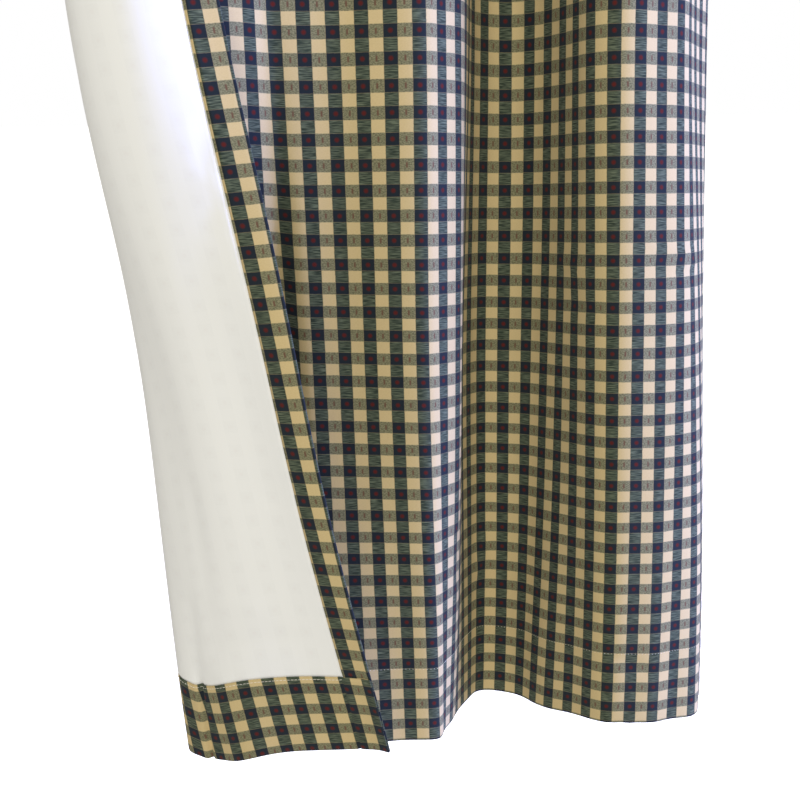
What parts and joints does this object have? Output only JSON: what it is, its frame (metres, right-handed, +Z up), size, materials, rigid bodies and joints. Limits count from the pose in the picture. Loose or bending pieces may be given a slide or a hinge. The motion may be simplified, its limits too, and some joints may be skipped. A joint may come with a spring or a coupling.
{
  "type": "lined cotton curtain panel",
  "caption": "Lined check cotton curtain panel hanging in soft vertical folds, its leading edge turned back to show the white lining and hems.",
  "frame": {"origin": "middle of the top edge, in the middle of the depth of its folds, where a rod or rail would hold the panel", "axes": "+X across the window, to the right as seen from the room; +Y away from the room, towards the window; +Z up"},
  "size_m": [0.6428, 0.3166, 2.1532],
  "materials": {
    "check_cotton": "matte yarn-dyed woven check, navy and cream with small red dots",
    "white_lining": "matte plain-weave white cotton"
  },
  "bodies": {
    "root": {"face_panel": "check_cotton", "lining": "white_lining"}
  },
  "joints": []
}
